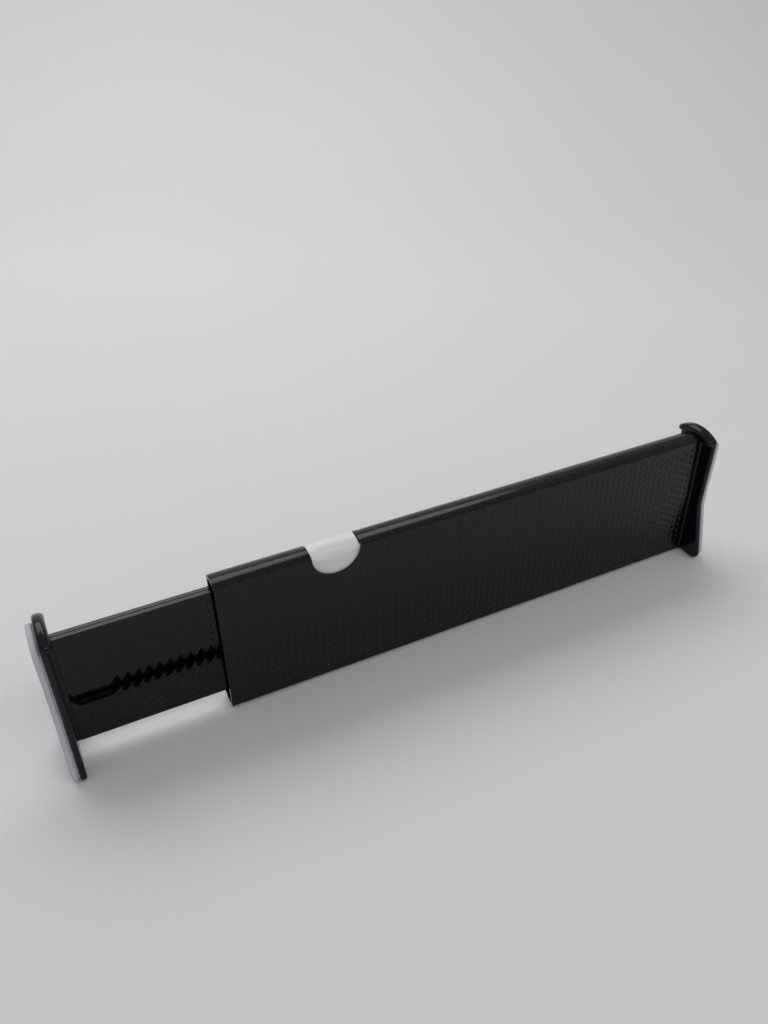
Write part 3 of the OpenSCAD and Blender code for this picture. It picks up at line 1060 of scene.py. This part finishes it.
def sweep():
    """A paper sweep that curves up behind the divider."""
    stage_turn = Matrix.Rotation(math.radians(-26), 4, "Z")
    bend_y, bend_r, tall, wide, near = 0.62, 0.45, 1.5, 1.6, -1.3
    profile = [(near, 0.0)]
    steps = 24
    for i in range(steps + 1):
        t = math.pi / 2 * i / steps
        profile.append((bend_y + bend_r * math.sin(t), bend_r * (1 - math.cos(t))))
    profile.append((bend_y + bend_r, tall))
    shape = bmesh.new()
    left, right = (
        [shape.verts.new(stage_turn @ Vector((x, y, z))) for y, z in profile]
        for x in (-wide, wide)
    )
    for i in range(len(profile) - 1):
        shape.faces.new((left[i], right[i], right[i + 1], left[i + 1]))
    floor = make_piece("sweep", shape, found_material("Paper", paper))
    floor.data.shade_smooth()


def softbox(name, place, target, size, power):
    """A flat light of this size at place, turned to the target."""
    light = bpy.data.lights.new(name, "AREA")
    light.shape = "RECTANGLE"
    light.size, light.size_y = size
    light.energy = power
    lamp = bpy.data.objects.new(name, light)
    lamp.location = place
    lamp.rotation_euler = (Vector(target) - Vector(place)).to_track_quat("-Z", "Y").to_euler()
    bpy.context.scene.collection.objects.link(lamp)


def studio():
    """The camera, the light from the sky and the two lamps, and the sweep."""
    settings = bpy.context.scene.divider_stage
    camera = bpy.data.cameras.new("camera")
    camera.lens = settings.lens
    camera.sensor_width = 36.0
    camera.clip_start = 0.01
    holder = bpy.data.objects.new("camera", camera)
    holder.location = settings.camera_place
    holder.rotation_euler = settings.camera_turn
    bpy.context.scene.collection.objects.link(holder)
    bpy.context.scene.camera = holder
    world = bpy.data.worlds.new("studio")
    world.use_nodes = True
    sky = world.node_tree.nodes["Background"]
    sky.inputs["Color"].default_value = (0.97, 0.985, 1.0, 1.0)
    sky.inputs["Strength"].default_value = settings.sky
    bpy.context.scene.world = world
    bpy.context.scene.view_settings.view_transform = "Standard"
    softbox(
        "overhead", place=(0.0, 0.85, 1.1), target=(0.0, 0.2, 0.0), size=(1.5, 0.8),
        power=settings.softbox,
    )
    softbox(
        "lamp", place=(0.3, -0.75, 1.05), target=(0.0, 0.0, 0.0), size=(1.1, 0.01),
        power=settings.lamp,
    )
    sweep()


# ---------------------------------------------------------------- operators


class DIVIDER_OT_sleeve(bpy.types.Operator):
    """Makes the sleeve's two dimpled shells"""

    bl_idname = "divider.sleeve"
    bl_label = "Sleeve shells"

    def execute(self, context):
        sleeve_shell("sleeve_front", "sleeve_front_shell", -1)
        sleeve_shell("sleeve_back", "sleeve_back_shell", 1)
        return {"FINISHED"}


class DIVIDER_OT_slider(bpy.types.Operator):
    """Makes the slider's two dimpled panels"""

    bl_idname = "divider.slider"
    bl_label = "Slider panels"

    def execute(self, context):
        slider_panel("slider_front", "slider_front_panel", -1)
        slider_panel("slider_back", "slider_back_panel", 1)
        return {"FINISHED"}


class DIVIDER_OT_plates(bpy.types.Operator):
    """Makes the two bullnosed foot plates"""

    bl_idname = "divider.plates"
    bl_label = "Foot plates"

    def execute(self, context):
        foot_plate("fixed_plate", "fixed_end_plate", "sleeve", 1)
        foot_plate("sliding_plate", "slider_end_plate", "slider", -1)
        return {"FINISHED"}


class DIVIDER_OT_pads(bpy.types.Operator):
    """Makes the foam pads and finishes the tape under them"""

    bl_idname = "divider.pads"
    bl_label = "Foam pads"

    def execute(self, context):
        end_pad("fixed_foam", "fixed_end_pad", "sleeve", 1)
        end_pad("sliding_foam", "slider_end_pad", "slider", -1)
        finish_nodes(found_material("Film tape", tape), "fixed_pad_tape", "slider_pad_tape")
        return {"FINISHED"}


class DIVIDER_OT_button(bpy.types.Operator):
    """Makes the push button"""

    bl_idname = "divider.button"
    bl_label = "Push button"

    def execute(self, context):
        push_button()
        return {"FINISHED"}


class DIVIDER_OT_latch(bpy.types.Operator):
    """Makes the spring, and finishes the lever, its pin and stud, and the screws"""

    bl_idname = "divider.latch"
    bl_label = "Latch and screws"

    def execute(self, context):
        lever_spring()
        finish_nodes(lever_plastic(), "latch_lever")
        finish_nodes(
            found_material("Zinc-plated steel", steel),
            "latch_pin", "lever_pivot_stud", "fixed_plate_screws", "slider_plate_screws",
        )
        return {"FINISHED"}


class DIVIDER_OT_stage(bpy.types.Operator):
    """Makes the camera, the lights and the paper sweep"""

    bl_idname = "divider.stage"
    bl_label = "Studio stage"

    def execute(self, context):
        studio()
        return {"FINISHED"}


OPERATORS = (
    DIVIDER_OT_sleeve, DIVIDER_OT_slider, DIVIDER_OT_plates, DIVIDER_OT_pads,
    DIVIDER_OT_button, DIVIDER_OT_latch, DIVIDER_OT_stage,
)
SETTINGS = (
    ("divider_texture", DividerTexture), ("divider_finish", DividerFinish),
    ("divider_stage", DividerStage),
)


class DIVIDER_PT_panel(bpy.types.Panel):
    """Lists the steps and the settings"""

    bl_idname = "DIVIDER_PT_panel"
    bl_label = "Drawer divider"
    bl_space_type = "VIEW_3D"
    bl_region_type = "UI"
    bl_category = "Divider"

    def draw(self, context):
        for operator in OPERATORS:
            self.layout.operator(operator.bl_idname)
        for name, group in SETTINGS:
            box = self.layout.box()
            for key in group.__annotations__:
                box.prop(getattr(context.scene, name), key)


def register():
    for name, group in SETTINGS:
        bpy.utils.register_class(group)
        setattr(bpy.types.Scene, name, PointerProperty(type=group))
    for operator in (*OPERATORS, DIVIDER_PT_panel):
        bpy.utils.register_class(operator)


def unregister():
    for operator in reversed((*OPERATORS, DIVIDER_PT_panel)):
        bpy.utils.unregister_class(operator)
    for name, group in reversed(SETTINGS):
        delattr(bpy.types.Scene, name)
        bpy.utils.unregister_class(group)


def main():
    register()
    for step in ("sleeve", "slider", "plates", "pads", "button", "latch", "stage"):
        getattr(bpy.ops.divider, step)()


if __name__ == "__main__":
    main()
